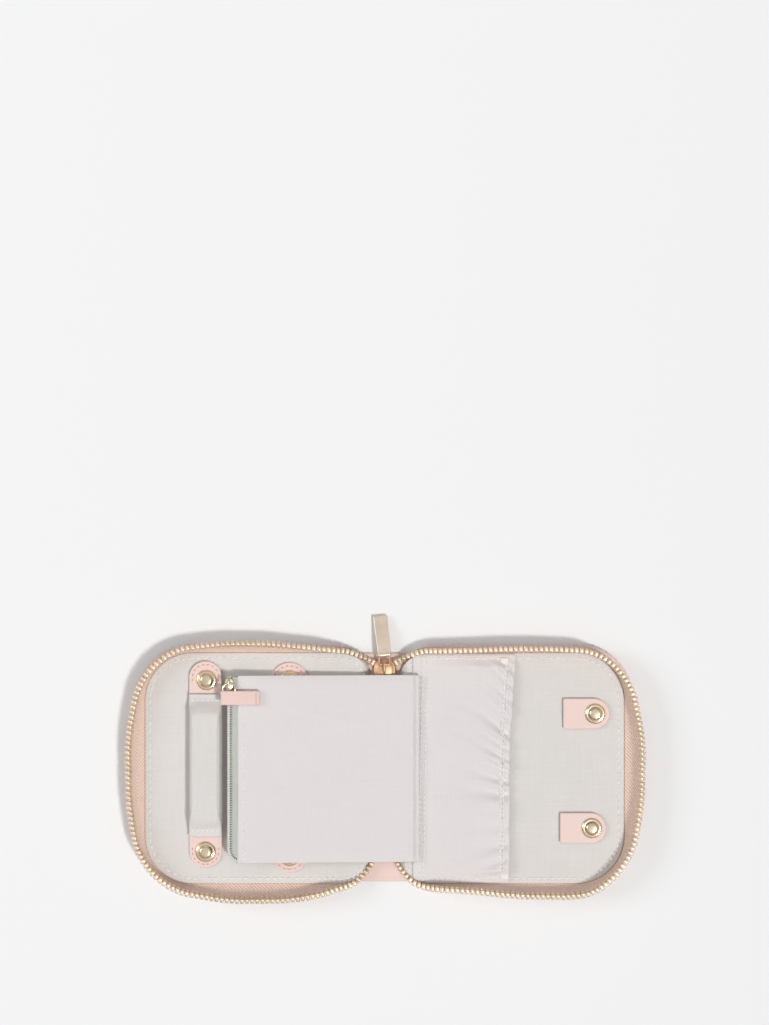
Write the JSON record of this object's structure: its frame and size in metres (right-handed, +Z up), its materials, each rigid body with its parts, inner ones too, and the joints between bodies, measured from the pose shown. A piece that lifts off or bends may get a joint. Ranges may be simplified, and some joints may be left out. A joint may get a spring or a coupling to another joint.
{
  "type": "travel jewelry case",
  "caption": "Zip-round travel jewelry case lying open, with a ring bar, an earring bar, a zipped page, a gathered pocket and snap tabs.",
  "frame": {"origin": "middle of the spine's underside, with the case open flat", "axes": "+X across the two halves towards the pocket half, +Y along the spine towards the main zip pull, +Z up out of the trays"},
  "size_m": [0.2217, 0.1211, 0.014],
  "materials": {
    "cover_leather": "smooth blush leather, satin",
    "tab_leather": "smooth blush leather, satin",
    "board": "plain board, matt",
    "padding": "soft foam, matt",
    "lining": "plain woven, matt",
    "inner_fabric": "plain woven, matt",
    "zip_tape": "herringbone woven, matt",
    "zip_teeth": "polished pale gold",
    "snap_metal": "polished pale gold",
    "slider_metal": "polished pale gold",
    "pull_metal": "brushed pale gold",
    "page_zip": "woven tape with a nylon coil, matt",
    "elastic": "flat elastic, matt"
  },
  "bodies": {
    "left_half": {"left_cover": "cover_leather", "left_board": "board", "left_padding": "padding", "left_lining": "lining", "left_zip_tape": "zip_tape", "left_zip_teeth": "zip_teeth", "ring_base_tab": "tab_leather", "ring_base_snap": "snap_metal", "ring_stud": "snap_metal", "earring_strap": "inner_fabric", "earring_tabs": "tab_leather", "earring_snaps": "snap_metal"},
    "spine": {"spine_cover": "cover_leather", "spine_lining": "lining", "zip_top_tapes": "zip_tape", "zip_top_teeth": "zip_teeth", "zip_bottom_tapes": "zip_tape", "zip_bottom_teeth": "zip_teeth", "zip_stop": "zip_teeth", "main_slider": "slider_metal"},
    "main_pull": {"main_pull_link": "slider_metal", "main_pull_bar": "pull_metal"},
    "right_half": {"right_cover": "cover_leather", "right_board": "board", "right_padding": "padding", "right_lining": "lining", "right_zip_tape": "zip_tape", "right_zip_teeth": "zip_teeth", "gathered_pocket": "inner_fabric", "pocket_elastic": "elastic", "page_seam": "inner_fabric", "necklace_studs": "snap_metal"},
    "binding": {"page_binding": "inner_fabric"},
    "page": {"page_front": "inner_fabric", "page_back": "inner_fabric", "page_front_tape": "page_zip", "page_back_tape": "page_zip", "page_chain": "page_zip", "page_stops": "slider_metal"},
    "page_zip_slider": {"page_slider": "slider_metal"},
    "page_pull": {"page_pull_ring": "slider_metal", "page_pull_tab": "tab_leather"},
    "ring_bar": {"ring_roll": "inner_fabric", "ring_filling": "padding", "ring_tab": "tab_leather", "ring_cap": "snap_metal"},
    "upper_strap": {"upper_tab": "tab_leather", "upper_cap": "snap_metal"},
    "lower_strap": {"lower_tab": "tab_leather", "lower_cap": "snap_metal"}
  },
  "joints": [
    {"name": "spine_fold", "type": "hinge", "parent": "left_half", "child": "spine", "pos_m": [-0.01, 0, 0.002], "axis": [0, -1, 0], "range_deg": [0, 90]},
    {"name": "right_fold", "type": "hinge", "parent": "spine", "child": "right_half", "pos_m": [0.01, 0, 0.002], "axis": [0, -1, 0], "range_deg": [0, 90]},
    {"name": "page_lay", "type": "hinge", "parent": "right_half", "child": "binding", "pos_m": [0.014, 0, 0.0062], "axis": [0, 1, 0], "range_deg": [0, 173]},
    {"name": "page_turn", "type": "hinge", "parent": "binding", "child": "page", "pos_m": [0.011, 0, 0.00636], "axis": [0, -1, 0], "range_deg": [-125, 0]},
    {"name": "page_zip_slide", "type": "slide", "parent": "page", "child": "page_zip_slider", "axis": [0, 1, 0], "range_m": [-0.0725, 0]},
    {"name": "page_pull_swing", "type": "hinge", "parent": "page_zip_slider", "child": "page_pull", "pos_m": [-0.06607, 0.0372, 0.0127], "axis": [0.9986, 0, -0.0523], "range_deg": [-90, 0]},
    {"name": "main_pull_swing", "type": "hinge", "parent": "spine", "child": "main_pull", "pos_m": [0, 0.0446, 0.006], "axis": [-1, 0, 0], "range_deg": [-110, 0]},
    {"name": "ring_bar_lift", "type": "hinge", "parent": "left_half", "child": "ring_bar", "pos_m": [-0.0767, -0.0293, 0.0057], "axis": [-1, 0, 0], "range_deg": [-95, 0]},
    {"name": "upper_tab_open", "type": "hinge", "parent": "right_half", "child": "upper_strap", "pos_m": [0.0766, 0.0235, 0.0052], "axis": [0, 1, 0], "range_deg": [-150, 0]},
    {"name": "lower_tab_open", "type": "hinge", "parent": "right_half", "child": "lower_strap", "pos_m": [0.0752, -0.0255, 0.0052], "axis": [0, 1, 0], "range_deg": [-150, 0]}
  ],
  "couplings": [
    {"joint": "right_fold", "follows": "spine_fold", "ratio": 1},
    {"joint": "page_lay", "follows": "spine_fold", "ratio": 1.9206}
  ]
}
